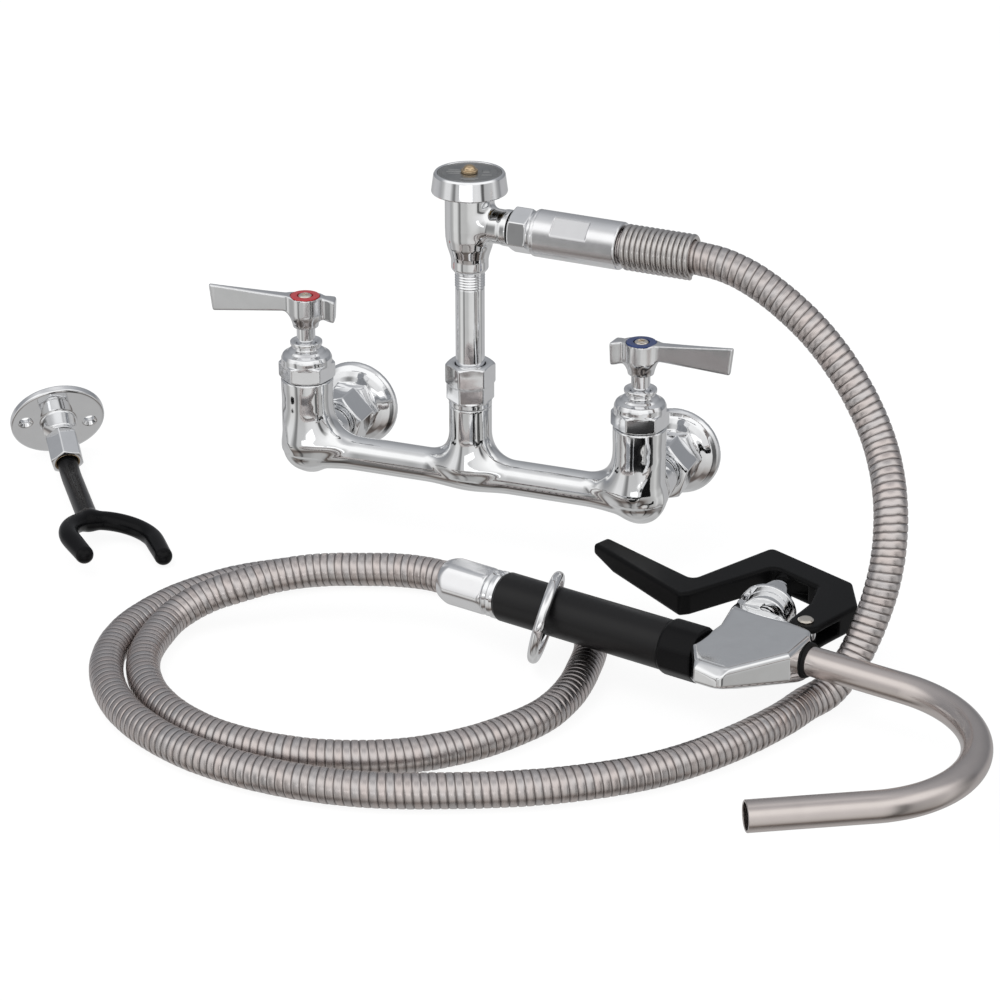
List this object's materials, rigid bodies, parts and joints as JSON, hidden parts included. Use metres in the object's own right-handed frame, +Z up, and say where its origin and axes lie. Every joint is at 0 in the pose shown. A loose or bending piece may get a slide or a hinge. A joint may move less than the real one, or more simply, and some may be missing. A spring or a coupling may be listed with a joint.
{
  "type": "pre rinse faucet",
  "caption": "Wall-mount mixing faucet with riser, vacuum breaker, long flexible steel hose, squeeze valve with hook nozzle, and a separate wall hook.",
  "frame": {"origin": "wall plane, midway between the two water inlets, at inlet height", "axes": "+X to the user's right along the inlets, +Y into the wall, +Z up along the riser"},
  "size_m": [0.663, 0.381, 0.2347],
  "materials": {
    "chrome": "polished",
    "satin_cap": "satin",
    "interlock_steel": "brushed",
    "nozzle_steel": "brushed",
    "spring_steel": "polished",
    "brass": "machined",
    "black_grip": "satin",
    "black_lever": "satin",
    "black_vinyl": "gloss",
    "black_rubber": "matte",
    "ceramic": "lapped",
    "hot_red": "gloss",
    "cold_blue": "gloss"
  },
  "bodies": {
    "faucet": {"faucet_body": "chrome", "hot_supply_flange": "chrome", "cold_supply_flange": "chrome", "hot_coupling_nut": "chrome", "cold_coupling_nut": "chrome", "union_washers": "black_rubber", "hot_bonnet_nut": "chrome", "cold_bonnet_nut": "chrome", "cartridge_bodies": "brass", "cartridge_seals": "black_rubber", "lower_discs": "ceramic", "riser_nut": "chrome", "riser_washer": "black_rubber", "riser_tube": "chrome", "breaker_body": "chrome", "breaker_guide": "brass", "breaker_cap": "satin_cap", "breaker_screw": "brass", "outlet_washer": "black_rubber", "hose_adapter": "chrome", "hose_sleeve": "chrome", "spring_guard": "spring_steel", "hose_inlet_casing": "interlock_steel", "hose_inlet_liner": "black_rubber", "hook_flange": "chrome", "hook_nut": "chrome"},
    "hot_valve": {"hot_stem": "brass", "hot_upper_disc": "ceramic", "hot_lever": "chrome", "hot_index_ring": "hot_red", "hot_lever_screw": "brass"},
    "cold_valve": {"cold_stem": "brass", "cold_upper_disc": "ceramic", "cold_lever": "chrome", "cold_index_ring": "cold_blue", "cold_lever_screw": "brass"},
    "float": {"breaker_float": "black_rubber"},
    "hose_run": {"hose_casing": "interlock_steel", "hose_liner": "black_rubber"},
    "hose_end": {"hose_end_casing": "interlock_steel", "hose_end_liner": "black_rubber", "hose_ferrule": "chrome"},
    "spray_valve": {"grip_ring": "chrome", "grip_tube": "brass", "grip_sleeve": "black_grip", "grip_collar": "black_grip", "valve_body": "chrome", "valve_bonnet": "chrome", "valve_seat": "black_rubber", "valve_spring": "spring_steel", "trigger_pin": "chrome", "nozzle_tube": "nozzle_steel", "nozzle_gland": "black_rubber"},
    "trigger": {"trigger_lever": "black_lever"},
    "plunger": {"valve_plunger": "chrome"},
    "ring": {"hold_ring": "chrome"},
    "hook_fork": {"hook_rod": "spring_steel", "hook_coating": "black_vinyl"}
  },
  "joints": [
    {"name": "hot_handle", "type": "hinge", "parent": "faucet", "child": "hot_valve", "pos_m": [-0.1016, -0.0723, 0.085], "axis": [0, 0, 1], "range_deg": [0, 90]},
    {"name": "cold_handle", "type": "hinge", "parent": "faucet", "child": "cold_valve", "pos_m": [0.1016, -0.0723, 0.085], "axis": [0, 0, 1], "range_deg": [-90, 0]},
    {"name": "breaker_float_lift", "type": "slide", "parent": "faucet", "child": "float", "axis": [0, 0, 1], "range_m": [0, 0.004]},
    {"name": "hose_swing", "type": "hinge", "parent": "faucet", "child": "hose_run", "pos_m": [0.14947, -0.08485, 0.1502], "axis": [0, 0, 1], "range_deg": [-6, 20]},
    {"name": "hose_lift", "type": "hinge", "parent": "hose_run", "child": "hose_end", "pos_m": [-0.048, -0.1845, -0.021], "axis": [-0.2317, -0.9728, 0], "range_deg": [0, 40]},
    {"name": "grip_swivel", "type": "hinge", "parent": "hose_end", "child": "spray_valve", "pos_m": [0.05595, -0.18318, -0.017], "axis": [0.9728, -0.2317, 0], "range_deg": [0, 80]},
    {"name": "trigger_squeeze", "type": "hinge", "parent": "spray_valve", "child": "trigger", "pos_m": [0.22745, -0.16965, -0.017], "axis": [0, 0, 1], "range_deg": [0, 7.7], "stiffness_Nm_per_rad": 1.5},
    {"name": "plunger_stroke", "type": "slide", "parent": "spray_valve", "child": "plunger", "axis": [0.0499, -0.9988, 0], "range_m": [0, 0.0029], "deforming": ["valve_spring"]},
    {"name": "hold_ring_slide", "type": "slide", "parent": "spray_valve", "child": "ring", "axis": [0.9728, -0.2317, 0], "range_m": [-0.022, 0.003]},
    {"name": "hook_swivel", "type": "hinge", "parent": "faucet", "child": "hook_fork", "pos_m": [-0.28588, -0.04045, -0.0236], "axis": [0.5434, -0.7003, -0.463], "range_deg": [-90, 90]}
  ],
  "couplings": [
    {"joint": "grip_swivel", "follows": "hose_lift", "ratio": 2},
    {"joint": "plunger_stroke", "follows": "trigger_squeeze", "m_per_rad": 0.0212}
  ]
}
